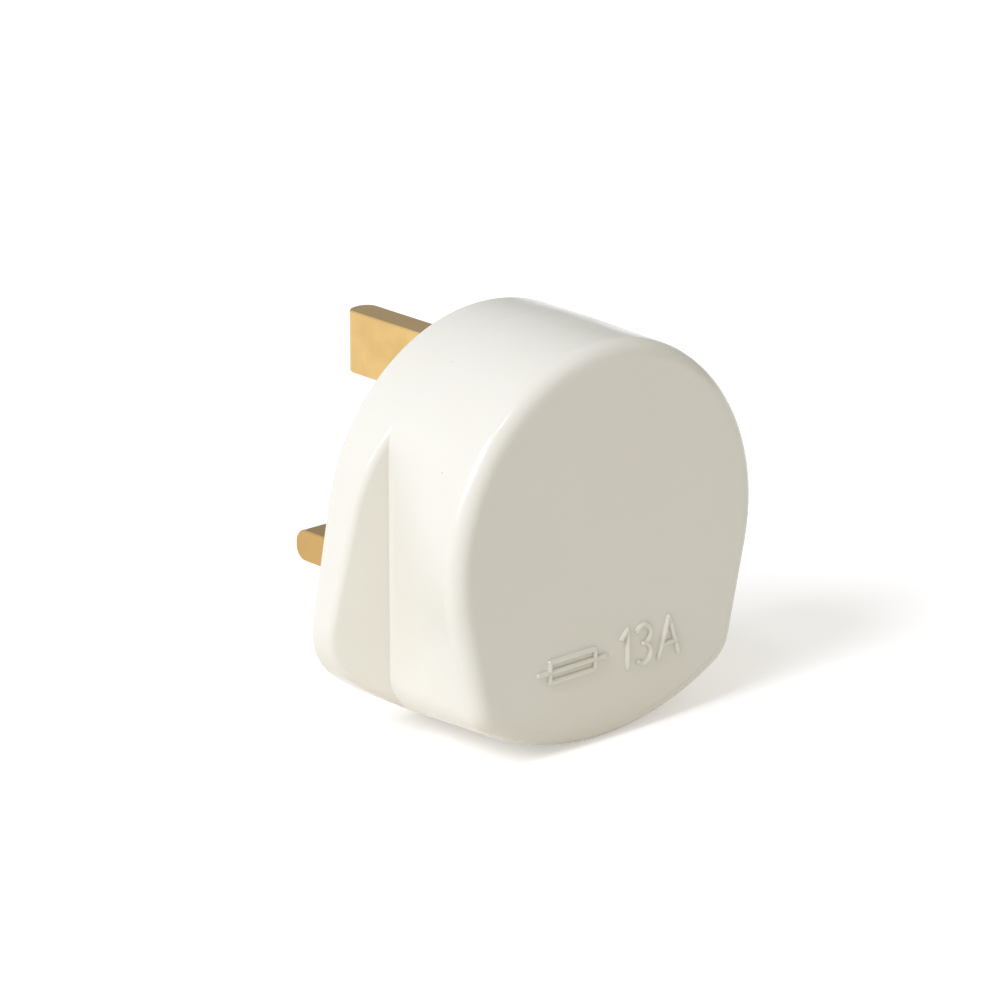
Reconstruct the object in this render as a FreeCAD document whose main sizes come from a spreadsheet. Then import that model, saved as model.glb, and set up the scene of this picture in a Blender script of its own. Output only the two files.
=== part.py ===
import FreeCAD, Part
import math
import os
import re

import Sketcher

# A rewirable three-pin mains plug with a fuse.
# The origin lies on the pin face, midway between the earth pin and the line through the other two.
# +Y runs along the pins, away from the hand, +Z is up with the earth pin on top, and the cover's
# back faces -Y. Seen from the back, live is on the right (+X) and neutral on the left (-X).

# Driving dimensions, in millimetres and degrees
SIZES = {
    "pin_pitch": 22.23,
    "line_pin_width": 6.35,
    "line_pin_thickness": 3.97,
    "line_pin_length": 17.7,
    "earth_pin_width": 3.97,
    "earth_pin_height": 7.92,
    "earth_pin_length": 22.73,
    "pin_tip_rounding": 1.7,
    "pin_edge_rounding": 0.25,
    "sleeve_length": 9.2,
    "sleeve_wall": 0.6,
    "fit_clearance": 0.1,
    "body_depth": 23.0,
    "arch_centre_height": -3.8,
    "flange_flare": 10.5,
    "block_taper": 13.0,
    "bottom_radius": 38.0,
    "land_cut": 0.5,
    "land_half_width": 9.0,
    "flange_corner_radius": 7.5,
    "block_corner_radius": 5.5,
    "back_draft": 0.35,
    "back_rise": 0.2,
    "grip_shoulder_radius": 6.0,
    "grip_depth": 6.8,
    "grip_rake": 27.0,
    "flange_height": 7.6,
    "grip_edge_rounding": 1.2,
    "pin_face_rounding": 0.6,
    "back_rim_depth": 2.3,
    "back_edge_rounding": 2.2,
    "rim_width": 2.6,
    "arch_wall": 3.6,
    "arch_clearance": 0.86,
    "side_wall": 2.4,
    "side_clearance": 2.685,
    "back_wall": 2.6,
    "cavity_corner_radius": 3.0,
    "base_thickness": 2.6,
    "cord_entry_half_width": 4.25,
    "cord_entry_depth": 7.0,
    "cord_entry_reach": 5.0,
    "terminal_depth": 9.0,
    "line_head_width": 8.4,
    "line_head_height": 8.0,
    "earth_head_width": 8.0,
    "earth_head_height": 9.6,
    "wire_hole_radius": 1.7,
    "wire_hole_depth": 5.2,
    "terminal_screw_radius": 1.5,
    "terminal_screw_length": 2.6,
    "terminal_head_radius": 2.4,
    "live_head_radius": 2.0,
    "screw_head_height": 1.8,
    "slot_width": 0.8,
    "slot_depth": 0.8,
    "fuse_seat_depth": 3.4,
    "fuse_radius": 3.175,
    "fuse_length": 25.4,
    "fuse_foot_height": -18.0,
    "fuse_cap_length": 6.0,
    "fuse_cap_wall": 0.25,
    "fuse_cap_end": 0.4,
    "clip_sheet": 0.5,
    "clip_length": 4.0,
    "clip_inset": 1.0,
    "clip_mouth_half_width": 2.2,
    "clip_foot_half_width": 2.6,
    "rivet_radius": 1.0,
    "terminal_block_left": 4.9,
    "terminal_block_width": 6.6,
    "terminal_block_height": 4.2,
    "terminal_block_gap": 0.8,
    "terminal_hole_inset": 1.9,
    "terminal_hole_radius": 1.2,
    "clamp_gap": 1.2,
    "cord_run": 8.0,
    "clamp_screw_pitch": 17.0,
    "clamp_bar_width": 4.4,
    "clamp_bar_thickness": 2.6,
    "clamp_bar_overhang": 0.5,
    "clamp_groove_radius": 9.0,
    "clamp_groove_depth": 1.0,
    "clamp_pillar_radius": 3.0,
    "clamp_pillar_height": 4.9,
    "clamp_screw_radius": 1.5,
    "clamp_screw_length": 6.4,
    "clamp_head_radius": 2.5,
    "cover_screw_height": -0.5,
    "cover_screw_radius": 1.75,
    "cover_screw_length": 9.8,
    "cover_screw_head_radius": 3.0,
    "cover_screw_head_height": 2.2,
    "cover_screw_sink": 0.5,
    "cover_screw_slot_width": 1.0,
    "cover_screw_slot_depth": 1.1,
    "screw_boss_radius": 4.7,
    "base_boss_height": 3.0,
    "washer_radius": 3.8,
    "washer_thickness": 0.6,
    "washer_gap": 0.2,
    "insert_radius": 2.9,
    "insert_length": 6.5,
    "cut_overrun": 2.0,
}

# Marks an edge of a loop that is half a circle
HALF_TURN = "half turn"

doc = FreeCAD.newDocument("three_pin_plug")
sheet = doc.addObject("Spreadsheet::Sheet", "Sizes")
aliases = []
sub_parts = []


def add_cell(alias, content):
    """Write one cell of the sheet and give it its name."""
    aliases.append(alias)
    row = len(aliases)
    sheet.set(f"A{row}", alias)
    sheet.set(f"B{row}", content)
    sheet.setAlias(f"B{row}", alias)


def derive(alias, formula):
    """Work out a further size from the driving ones, in a cell of its own."""
    add_cell(alias, "=" + formula)


def outline_cells(name, inset, angle, corner_radius, rise="0"):
    """Cells for an outline of arch, slanted sides, rounded corners and a curved bottom.

    The sides are tangent to the arch and lean outwards by the angle on their way down.
    The whole outline lies inside the outer one by the inset, and its bottom by the rise besides.
    """
    derive(f"{name}_arch", f"arch_radius - ({inset})")
    derive(f"{name}_bottom", f"bottom_radius - ({inset}) - {rise}")
    derive(f"{name}_corner", corner_radius)
    derive(f"{name}_side_x", f"{name}_arch * cos({angle})")
    derive(f"{name}_side_z", f"arch_centre_height + {name}_arch * sin({angle})")
    derive(f"{name}_in", f"{name}_arch - {name}_corner")
    derive(f"{name}_out", f"{name}_bottom - {name}_corner")
    derive(f"{name}_skew", f"{name}_in - arc_offset * sin({angle})")
    derive(f"{name}_drop", f"sqrt({name}_out ^ 2 - {name}_skew ^ 2) - arc_offset * cos({angle})")
    derive(f"{name}_core_x", f"{name}_in * cos({angle}) + {name}_drop * sin({angle})")
    derive(
        f"{name}_core_z",
        f"arch_centre_height + {name}_in * sin({angle}) - {name}_drop * cos({angle})",
    )
    derive(f"{name}_high_x", f"{name}_core_x + {name}_corner * cos({angle})")
    derive(f"{name}_high_z", f"{name}_core_z + {name}_corner * sin({angle})")
    corner_cells(name)


def straight_cells(name, inset, half_width, corner_radius):
    """Cells for an outline whose upright sides cut the arch off instead of flowing from it."""
    derive(f"{name}_arch", f"arch_radius - ({inset})")
    derive(f"{name}_bottom", f"bottom_radius - ({inset})")
    derive(f"{name}_corner", corner_radius)
    derive(f"{name}_side_x", half_width)
    derive(f"{name}_side_z", f"arch_centre_height + sqrt({name}_arch ^ 2 - {name}_side_x ^ 2)")
    derive(f"{name}_out", f"{name}_bottom - {name}_corner")
    derive(f"{name}_core_x", f"{name}_side_x - {name}_corner")
    derive(f"{name}_core_z", f"arc_height - sqrt({name}_out ^ 2 - {name}_core_x ^ 2)")
    derive(f"{name}_high_x", f"{name}_side_x")
    derive(f"{name}_high_z", f"{name}_core_z")
    corner_cells(name)


def corner_cells(name):
    """The point where a rounded corner flows into the curved bottom."""
    derive(f"{name}_low_x", f"{name}_core_x * {name}_bottom / {name}_out")
    derive(f"{name}_low_z", f"arc_height + ({name}_core_z - arc_height) * {name}_bottom / {name}_out")


def value(formula):
    """The number that a formula gives with the sizes now in the sheet."""
    return float(sheet.evalExpression(formula))


def bind(item, setting, formula):
    """Tie a setting of an object to a formula of the sheet's sizes."""
    linked = re.sub(
        r"[a-z][a-z_]+",
        lambda word: "Sizes." + word[0] if word[0] in aliases else word[0],
        formula,
    )
    item.setExpression(setting, linked)


def new_body(label, x="0", y="0", z="0", rotation=None):
    """A sub-part of its own, placed in the plug's frame."""
    body = doc.addObject("PartDesign::Body", label)
    body.Label = label
    if rotation:
        body.Placement = FreeCAD.Placement(FreeCAD.Vector(), rotation)
    for axis, formula in (("x", x), ("y", y), ("z", z)):
        bind(body, f"Placement.Base.{axis}", formula)
    sub_parts.append(body)
    return body


def new_sketch(body, name, role="XZ_Plane", offset="0"):
    """A sketch on one of the body's own planes, moved along the plane's normal."""
    plane = next(item for item in body.Origin.OriginFeatures if item.Role == role)
    sketch = body.newObject("Sketcher::SketchObject", name)
    sketch.AttachmentSupport = [(plane, "")]
    sketch.MapMode = "FlatFace"
    bind(sketch, "AttachmentOffset.Base.z", offset)
    return sketch


def hold_point(sketch, edge, end, x, y):
    """Fix a point of the sketch at a place given by two formulas."""
    for kind, formula, axis in (("DistanceX", x, -2), ("DistanceY", y, -1)):
        place = value(formula)
        if abs(place) < 1e-9:
            sketch.addConstraint(Sketcher.Constraint("PointOnObject", edge, end, axis))
        else:
            index = sketch.addConstraint(Sketcher.Constraint(kind, -1, 1, edge, end, place))
            bind(sketch, f"Constraints[{index}]", formula)


def hold_radius(sketch, edge, radius):
    """Fix the radius of an arc or a circle."""
    index = sketch.addConstraint(Sketcher.Constraint("Radius", edge, value(radius)))
    bind(sketch, f"Constraints[{index}]", radius)


def hold_half_turn(sketch, edge, chord, start):
    """Fix the centre of a half circle level with its two ends."""
    x, y = start
    if abs(chord.x) > abs(chord.y):
        kind, formula = "DistanceY", y
    else:
        kind, formula = "DistanceX", x
    index = sketch.addConstraint(Sketcher.Constraint(kind, -1, 1, edge, 3, value(formula)))
    bind(sketch, f"Constraints[{index}]", formula)


def arc_between(start, end, radius):
    """The arc that turns anticlockwise from start to end."""
    chord = end - start
    half = chord.Length / 2
    lift = math.sqrt(max(radius * radius - half * half, 0.0))
    aside = FreeCAD.Vector(-chord.y, chord.x, 0).normalize()
    centre = (start + end) * 0.5 + aside * lift
    first = math.atan2(start.y - centre.y, start.x - centre.x)
    last = math.atan2(end.y - centre.y, end.x - centre.x)
    if last <= first:
        last += 2 * math.pi
    circle = Part.Circle(centre, FreeCAD.Vector(0, 0, 1), radius)
    return Part.ArcOfCircle(circle, first, last)


def draw_loop(sketch, points, radii=None):
    """A closed line through points given as pairs of formulas; edges named in radii are arcs."""
    radii = radii or {}
    places = [FreeCAD.Vector(value(x), value(y), 0) for x, y in points]
    count = len(points)
    first = sketch.GeometryCount
    for i, start in enumerate(places):
        end = places[(i + 1) % count]
        if i not in radii:
            edge = Part.LineSegment(start, end)
        elif radii[i] == HALF_TURN:
            edge = arc_between(start, end, (end - start).Length / 2)
        else:
            edge = arc_between(start, end, value(radii[i]))
        sketch.addGeometry(edge, False)
    for i in range(count):
        following = first + (i + 1) % count
        sketch.addConstraint(Sketcher.Constraint("Coincident", first + i, 2, following, 1))
    for i, (x, y) in enumerate(points):
        hold_point(sketch, first + i, 1, x, y)
    for i, radius in radii.items():
        if radius == HALF_TURN:
            chord = places[(i + 1) % count] - places[i]
            hold_half_turn(sketch, first + i, chord, points[i])
        else:
            hold_radius(sketch, first + i, radius)


def draw_rectangle(sketch, left, right, low, high):
    """A rectangle between four formulas."""
    draw_loop(sketch, [(left, low), (right, low), (right, high), (left, high)])


def draw_circle(sketch, x, y, radius):
    """A circle about a point."""
    centre = FreeCAD.Vector(value(x), value(y), 0)
    circle = Part.Circle(centre, FreeCAD.Vector(0, 0, 1), value(radius))
    edge = sketch.addGeometry(circle, False)
    hold_point(sketch, edge, 3, x, y)
    hold_radius(sketch, edge, radius)


def mirrored(formula):
    """The same distance on the other side of the middle."""
    return f"-({formula})"


def both_sides(right):
    """The points of a right side, from low to high, and then those of the left side, downwards."""
    return right + [(mirrored(x), z) for x, z in reversed(right)]


def on_back_arch(angle):
    """A point of the back outline's arch, by its angle above the arch's centre."""
    return f"back_arch * cos({angle})", f"arch_centre_height + back_arch * sin({angle})"


def draw_outline(sketch, name):
    """An outline from the cells that outline_cells or straight_cells made."""
    side = (f"{name}_side_x", f"{name}_side_z")
    high = (f"{name}_high_x", f"{name}_high_z")
    low = (f"{name}_low_x", f"{name}_low_z")
    corner = f"{name}_corner"
    radii = {0: corner, 2: f"{name}_arch", 4: corner, 5: f"{name}_bottom"}
    draw_loop(sketch, both_sides([low, high, side]), radii)


def pad(body, sketch, length, to_pins=False):
    """Grow a sketch into a solid, away from its plane's normal if it goes towards the pins."""
    feature = body.newObject("PartDesign::Pad", sketch.Name + "_pad")
    feature.Profile = sketch
    feature.Reversed = to_pins
    bind(feature, "Length", length)
    return feature


def pocket(body, sketch, length, along_normal=False, both_ways=False):
    """Cut a sketch out of the body, against its plane's normal unless told otherwise."""
    feature = body.newObject("PartDesign::Pocket", sketch.Name + "_cut")
    feature.Profile = sketch
    feature.Reversed = along_normal
    feature.Midplane = both_ways
    bind(feature, "Length", length)
    return feature


def round_edges(body, name, radius, chosen):
    """Round the edges of the body's last feature that a test picks."""
    doc.recompute()
    base = body.Tip
    edges = [f"Edge{i + 1}" for i, edge in enumerate(base.Shape.Edges) if chosen(edge)]
    feature = body.newObject("PartDesign::Fillet", name)
    feature.Base = (base, edges)
    bind(feature, "Radius", radius)
    return feature


def edge_samples(edge, count=5):
    """Points along an edge, its ends among them."""
    return edge.discretize(Number=count)


def edge_lies_at(edge, y):
    """Whether an edge lies wholly in the plane at y."""
    return all(abs(point.y - y) < 1e-5 for point in edge_samples(edge))


for size_name, size in SIZES.items():
    add_cell(size_name, str(size))

# The cover's reach, from the pins, the fuse, the terminals and the clamp that it has to clear
derive("pin_offset", "pin_pitch / 2")
derive("terminal_block_foot", "fuse_foot_height + fuse_length + terminal_block_gap")
derive("earth_corner_x", "earth_head_width / 2")
derive("earth_corner_rise", "pin_offset + earth_head_height / 2 - arch_centre_height")
derive("live_corner_x", "terminal_block_left + terminal_block_width")
derive("live_corner_rise", "terminal_block_foot + terminal_block_height - arch_centre_height")
derive("earth_corner_reach", "sqrt(earth_corner_x ^ 2 + earth_corner_rise ^ 2)")
derive("live_corner_reach", "sqrt(live_corner_x ^ 2 + live_corner_rise ^ 2)")
derive("arch_radius", "max(earth_corner_reach; live_corner_reach) + arch_clearance + arch_wall")
derive("grip_half_width", "pin_offset + line_head_width / 2 + side_clearance + side_wall")
derive("clamp_height", "fuse_foot_height - clamp_gap - clamp_bar_width / 2")
derive("bottom_reach", "cord_run - clamp_height")
derive("land_reach", "bottom_reach - land_cut")
derive("arc_height", "bottom_radius - bottom_reach")
derive("arc_offset", "arc_height - arch_centre_height")

# Places that several pieces share
derive("cavity_depth", "body_depth - back_wall")
derive("terminal_top", "base_thickness + terminal_depth")
derive("wire_depth", "base_thickness + wire_hole_depth")
derive("seat_top", "base_thickness + fuse_seat_depth")
derive("clip_inner", "fuse_radius + fit_clearance")
derive("clip_outer", "clip_inner + clip_sheet")
derive("fuse_axis_depth", "seat_top + clip_outer")
derive("lower_clip_foot", "fuse_foot_height + clip_inset")
derive("upper_clip_foot", "fuse_foot_height + fuse_length - clip_inset - clip_length")
derive("terminal_hole_x", "terminal_block_left + terminal_hole_inset")
derive("terminal_hole_z", "terminal_block_foot + terminal_block_height / 2")
derive("pillar_top", "base_thickness + clamp_pillar_height")
derive("clamp_screw_offset", "clamp_screw_pitch / 2")
derive("cover_screw_seat", "cover_screw_sink + cover_screw_head_height")
derive("base_boss_top", "base_thickness + base_boss_height")
derive("cover_boss_end", "base_boss_top + washer_thickness + washer_gap")
derive("rake_slope", "tan(grip_rake)")
outline_cells("flange", "0", "flange_flare", "flange_corner_radius")
outline_cells("rebate", "rim_width", "flange_flare", "flange_corner_radius - rim_width")
outline_cells(
    "plate",
    "rim_width + fit_clearance",
    "flange_flare",
    "flange_corner_radius - rim_width - fit_clearance",
)
outline_cells("back", "back_draft", "(-block_taper)", "block_corner_radius - back_draft", "back_rise")
straight_cells("grip", "0", "grip_half_width", "block_corner_radius")
derive("shoulder_core", "grip_arch - grip_shoulder_radius")
derive("shoulder_core_x", "grip_half_width - grip_shoulder_radius")
derive("shoulder_rise", "sqrt(shoulder_core ^ 2 - shoulder_core_x ^ 2)")
derive("shoulder_low_z", "arch_centre_height + shoulder_rise")
derive("shoulder_high_x", "shoulder_core_x * grip_arch / shoulder_core")
derive("shoulder_high_z", "arch_centre_height + shoulder_rise * grip_arch / shoulder_core")
derive("shoulder_angle", "atan(shoulder_rise / shoulder_core_x) / 1 deg")
derive("shoulder_run", "grip_shoulder_radius * shoulder_angle * pi / 180")
derive("upright_run", "shoulder_low_z - back_side_z")
derive("upright_share", "upright_run / (upright_run + shoulder_run)")
derive("upright_angle", "(shoulder_angle + block_taper) * upright_share - block_taper")
straight_cells("cavity", "arch_wall", "grip_half_width - side_wall", "cavity_corner_radius")
doc.recompute()


def make_cover():
    """The moulded cover: a flange round the pin face and a block that the fingers grip."""
    body = new_body("cover")

    # Flange, full height first, then raked on both sides down to its thin outer edge
    flange = new_sketch(body, "flange_outline")
    draw_outline(flange, "flange")
    pad(body, flange, "flange_height")
    rake = new_sketch(body, "flange_rake", "XY_Plane")
    far_x = "(flange_high_x + cut_overrun)"
    far_y = f"(-grip_depth + rake_slope * ({far_x} - grip_half_width))"
    deep_y = "(-flange_height - cut_overrun)"
    near_x = "(grip_half_width - (flange_height + cut_overrun - grip_depth) / rake_slope)"
    draw_loop(rake, [(near_x, deep_y), (far_x, deep_y), (far_x, far_y)])
    draw_loop(
        rake,
        [(mirrored(near_x), deep_y), (mirrored(far_x), deep_y), (mirrored(far_x), far_y)],
    )
    pocket(body, rake, "4 * (bottom_reach + cut_overrun)", both_ways=True)

    # Roundings of the flange, made before the block covers its middle
    slope = value("rake_slope")
    corner_x = value("grip_half_width")
    corner_y = -value("grip_depth")
    top_y = -value("flange_height")

    def on_rake_rim(edge):
        on_plane = all(
            abs(point.y - corner_y - slope * (abs(point.x) - corner_x)) < 1e-4
            for point in edge_samples(edge)
        )
        return on_plane and not edge_lies_at(edge, top_y)

    round_edges(body, "flange_edge_rounding", "grip_edge_rounding", on_rake_rim)
    round_edges(body, "pin_face_edge_rounding", "pin_face_rounding", lambda edge: edge_lies_at(edge, 0.0))

    # Block: upright waisted section at the grips, flowing out to the pear-shaped back
    waist = new_sketch(body, "grip_section", offset="flange_height")
    waist_right = [
        ("grip_low_x", "grip_low_z"),
        ("grip_high_x", "grip_high_z"),
        ("grip_side_x", "back_side_z"),
        ("grip_side_x", "shoulder_low_z"),
        ("shoulder_high_x", "shoulder_high_z"),
    ]
    draw_loop(
        waist,
        both_sides(waist_right),
        {
            0: "grip_corner",
            3: "grip_shoulder_radius",
            4: "grip_arch",
            5: "grip_shoulder_radius",
            8: "grip_corner",
            9: "grip_bottom",
        },
    )
    back = new_sketch(body, "back_section", offset="body_depth - back_rim_depth")
    back_right = [
        ("back_low_x", "back_low_z"),
        ("back_high_x", "back_high_z"),
        ("back_side_x", "back_side_z"),
        on_back_arch("upright_angle"),
        on_back_arch("shoulder_angle"),
    ]
    back_arcs = {i: "back_arch" for i in (2, 3, 4, 5, 6)}
    back_arcs.update({0: "back_corner", 8: "back_corner", 9: "back_bottom"})
    draw_loop(back, both_sides(back_right), back_arcs)
    pad(body, waist, "flange_height - base_thickness", to_pins=True)
    block = body.newObject("PartDesign::AdditiveLoft", "block")
    block.Profile = waist
    block.Sections = [back]
    block.Ruled = True
    pad(body, back, "back_rim_depth")
    back_y = -value("body_depth")
    round_edges(body, "back_edge_rounding", "back_edge_rounding", lambda edge: edge_lies_at(edge, back_y))

    # Flat land at the cord entry, on which the plug stands
    land = new_sketch(body, "land")
    draw_rectangle(
        land,
        "-land_half_width",
        "land_half_width",
        "-bottom_reach - cut_overrun",
        "-land_reach",
    )
    pocket(body, land, "2 * body_depth + cut_overrun", both_ways=True)

    # Rebate for the base and the space for the terminals
    rebate = new_sketch(body, "base_rebate")
    draw_outline(rebate, "rebate")
    pocket(body, rebate, "base_thickness", along_normal=True)
    cavity = new_sketch(body, "cavity_outline")
    draw_outline(cavity, "cavity")
    pocket(body, cavity, "cavity_depth", along_normal=True)

    # Boss that carries the cover screw's insert
    boss = new_sketch(body, "screw_boss", offset="cavity_depth")
    draw_circle(boss, "0", "cover_screw_height", "screw_boss_radius")
    pad(body, boss, "cavity_depth - cover_boss_end", to_pins=True)
    bore = new_sketch(body, "insert_bore", offset="cover_boss_end")
    draw_circle(bore, "0", "cover_screw_height", "insert_radius")
    pocket(body, bore, "insert_length", along_normal=True)

    # Cord entry, a slot that the base closes
    entry = new_sketch(body, "cord_entry", "XY_Plane", "-bottom_reach - cut_overrun")
    half = "cord_entry_half_width"
    draw_loop(
        entry,
        [
            (half, "cut_overrun"),
            (mirrored(half), "cut_overrun"),
            (mirrored(half), "-cord_entry_depth"),
            (half, "-cord_entry_depth"),
        ],
        {2: HALF_TURN},
    )
    pocket(body, entry, "cord_entry_reach + cut_overrun", along_normal=True)


def make_base():
    """The base plate that carries the pins, with a tongue under the cord entry."""
    body = new_body("base")
    plate = new_sketch(body, "base_outline")
    draw_outline(plate, "plate")
    pad(body, plate, "base_thickness")
    tongue = new_sketch(body, "cord_tongue")
    half = "(cord_entry_half_width - fit_clearance)"
    draw_rectangle(tongue, mirrored(half), half, "-land_reach", "-land_reach + cord_entry_reach")
    pad(body, tongue, "base_thickness")
    boss = new_sketch(body, "base_boss", offset="base_thickness")
    draw_circle(boss, "0", "cover_screw_height", "screw_boss_radius")
    pad(body, boss, "base_boss_height")
    pillars = new_sketch(body, "clamp_pillars", offset="base_thickness")
    for side in ("clamp_screw_offset", "-clamp_screw_offset"):
        draw_circle(pillars, side, "clamp_height", "clamp_pillar_radius")
    pad(body, pillars, "clamp_pillar_height")

    # Slots for the pins
    slots = new_sketch(body, "pin_slots")
    earth_half = "(earth_pin_width / 2 + fit_clearance)"
    earth_rise = "(earth_pin_height / 2 + fit_clearance)"
    draw_rectangle(
        slots,
        mirrored(earth_half),
        earth_half,
        f"pin_offset - {earth_rise}",
        f"pin_offset + {earth_rise}",
    )
    line_half = "(line_pin_width / 2 - sleeve_wall + fit_clearance)"
    line_rise = "(line_pin_thickness / 2 - sleeve_wall + fit_clearance)"
    for middle in ("pin_offset", "-pin_offset"):
        draw_rectangle(
            slots,
            f"{middle} - {line_half}",
            f"{middle} + {line_half}",
            f"-pin_offset - {line_rise}",
            f"-pin_offset + {line_rise}",
        )
    pocket(body, slots, "base_thickness", along_normal=True)

    # Stepped hole for the cover screw, and the clamp screws' holes
    head = new_sketch(body, "cover_screw_recess")
    draw_circle(head, "0", "cover_screw_height", "cover_screw_head_radius + 2 * fit_clearance")
    pocket(body, head, "cover_screw_seat", along_normal=True)
    shank = new_sketch(body, "cover_screw_hole")
    draw_circle(shank, "0", "cover_screw_height", "cover_screw_radius + fit_clearance")
    pocket(body, shank, "base_boss_top", along_normal=True)
    threads = new_sketch(body, "clamp_screw_holes", offset="pillar_top")
    for side in ("clamp_screw_offset", "-clamp_screw_offset"):
        draw_circle(threads, side, "clamp_height", "clamp_screw_radius + fit_clearance / 2")
    pocket(body, threads, "clamp_screw_length - clamp_bar_thickness + fit_clearance")


def round_blade(body, ends, across, reach):
    """Round a pin's tip on its two broad sides, as a bullet, and break the edges of its narrow sides."""
    root, tip = (value(end) for end in ends)
    narrow_face = value(reach)

    def broad_tip(edge):
        run = edge.lastVertex().Point - edge.firstVertex().Point
        along = abs(run.x) if across == "x" else abs(run.z)
        return edge_lies_at(edge, tip) and along > run.Length - 1e-6

    def on_narrow_face(edge):
        points = edge_samples(edge)
        places = [abs(point.x if across == "x" else point.z) for point in points]
        on_face = all(abs(place - narrow_face) < 1e-5 for place in places)
        return on_face and not edge_lies_at(edge, root)

    round_edges(body, "tip_rounding", "pin_tip_rounding", broad_tip)
    round_edges(body, "edge_rounding", "pin_edge_rounding", on_narrow_face)


def make_earth_pin():
    """The long solid earth pin, with its terminal head inside the plug."""
    body = new_body("earth_pin", z="pin_offset")
    blade = new_sketch(body, "earth_blade", offset="base_thickness")
    draw_rectangle(
        blade,
        "-earth_pin_width / 2",
        "earth_pin_width / 2",
        "-earth_pin_height / 2",
        "earth_pin_height / 2",
    )
    pad(body, blade, "base_thickness + earth_pin_length", to_pins=True)
    round_blade(body, ("-base_thickness", "earth_pin_length"), "z", "earth_pin_height / 2")
    head = new_sketch(body, "earth_head", offset="base_thickness")
    draw_rectangle(
        head,
        "-earth_head_width / 2",
        "earth_head_width / 2",
        "-earth_head_height / 2",
        "earth_head_height / 2",
    )
    pad(body, head, "terminal_depth")
    drill_terminal(body, "0", "0", "earth_head_height", "wire_hole_radius")


def drill_terminal(body, x, z, height, hole_radius):
    """The wire's hole up through a terminal, and the threaded hole of the screw that meets it."""
    wire = new_sketch(body, "wire_hole", "XY_Plane", f"{z} - ({height}) / 2 - cut_overrun")
    draw_circle(wire, x, "-wire_depth", hole_radius)
    pocket(body, wire, f"{height} + 2 * cut_overrun", along_normal=True)
    thread = new_sketch(body, "terminal_thread", offset="terminal_top")
    draw_circle(thread, x, z, "terminal_screw_radius + fit_clearance / 2")
    pocket(body, thread, "terminal_depth - wire_hole_depth")


def make_line_pin(label, x):
    """A live or neutral pin: its root is slimmer by the sleeve that it wears."""
    body = new_body(label, x=x, z="-pin_offset")
    blade = new_sketch(body, "blade", offset="-sleeve_length")
    draw_rectangle(
        blade,
        "-line_pin_width / 2",
        "line_pin_width / 2",
        "-line_pin_thickness / 2",
        "line_pin_thickness / 2",
    )
    pad(body, blade, "line_pin_length - sleeve_length", to_pins=True)
    round_blade(body, ("sleeve_length", "line_pin_length"), "x", "line_pin_width / 2")
    root = new_sketch(body, "root", offset="base_thickness")
    half = "(line_pin_width / 2 - sleeve_wall)"
    rise = "(line_pin_thickness / 2 - sleeve_wall)"
    draw_rectangle(root, mirrored(half), half, mirrored(rise), rise)
    pad(body, root, "base_thickness + sleeve_length", to_pins=True)
    return body


def make_neutral_pin():
    """The neutral pin, with the same kind of terminal head as the earth pin."""
    body = make_line_pin("neutral_pin", "-pin_offset")
    head = new_sketch(body, "neutral_head", offset="base_thickness")
    draw_rectangle(
        head,
        "-line_head_width / 2",
        "line_head_width / 2",
        "-line_head_height / 2",
        "line_head_height / 2",
    )
    pad(body, head, "terminal_depth")
    drill_terminal(body, "0", "0", "line_head_height", "wire_hole_radius")


def make_live_pin():
    """The live pin: its head is a low seat that reaches down under the fuse's lower clip."""
    body = make_line_pin("live_pin", "pin_offset")
    head = new_sketch(body, "live_head", offset="base_thickness")
    draw_rectangle(
        head,
        "-line_head_width / 2",
        "line_head_width / 2",
        "lower_clip_foot + pin_offset",
        "line_head_height / 2",
    )
    pad(body, head, "fuse_seat_depth")
    rivet = new_sketch(body, "rivet_hole", offset="seat_top")
    draw_circle(rivet, "0", "lower_clip_foot + clip_length / 2 + pin_offset", "rivet_radius")
    pocket(body, rivet, "fuse_seat_depth")


def make_sleeve(label, x):
    """The moulded insulating sleeve round the root of a live or neutral pin."""
    body = new_body(label, x=x, z="-pin_offset")
    wall = new_sketch(body, "sleeve_section")
    for inset in ("0", "sleeve_wall"):
        half = f"(line_pin_width / 2 - {inset})"
        rise = f"(line_pin_thickness / 2 - {inset})"
        draw_rectangle(wall, mirrored(half), half, mirrored(rise), rise)
    pad(body, wall, "sleeve_length", to_pins=True)
    outer = value("line_pin_width / 2")

    def outer_long_edge(edge):
        run = edge.lastVertex().Point - edge.firstVertex().Point
        return abs(run.y) > run.Length - 1e-6 and abs(abs(edge.firstVertex().X) - outer) < 1e-5

    round_edges(body, "sleeve_edge_rounding", "pin_edge_rounding", outer_long_edge)


def make_live_terminal():
    """The live terminal: a seat under the upper fuse clip and a block that takes the wire."""
    body = new_body("live_terminal")
    seat = new_sketch(body, "fuse_seat", offset="base_thickness")
    draw_rectangle(
        seat,
        "pin_offset - line_head_width / 2",
        "pin_offset + line_head_width / 2",
        "upper_clip_foot",
        "terminal_block_foot",
    )
    pad(body, seat, "fuse_seat_depth")
    block = new_sketch(body, "terminal_block", offset="base_thickness")
    draw_rectangle(
        block,
        "terminal_block_left",
        "terminal_block_left + terminal_block_width",
        "terminal_block_foot",
        "terminal_block_foot + terminal_block_height",
    )
    pad(body, block, "terminal_depth")
    drill_terminal(
        body,
        "terminal_hole_x",
        "terminal_hole_z",
        "terminal_block_height",
        "terminal_hole_radius",
    )
    rivet = new_sketch(body, "rivet_hole", offset="seat_top")
    draw_circle(rivet, "pin_offset", "upper_clip_foot + clip_length / 2", "rivet_radius")
    pocket(body, rivet, "fuse_seat_depth")


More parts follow.
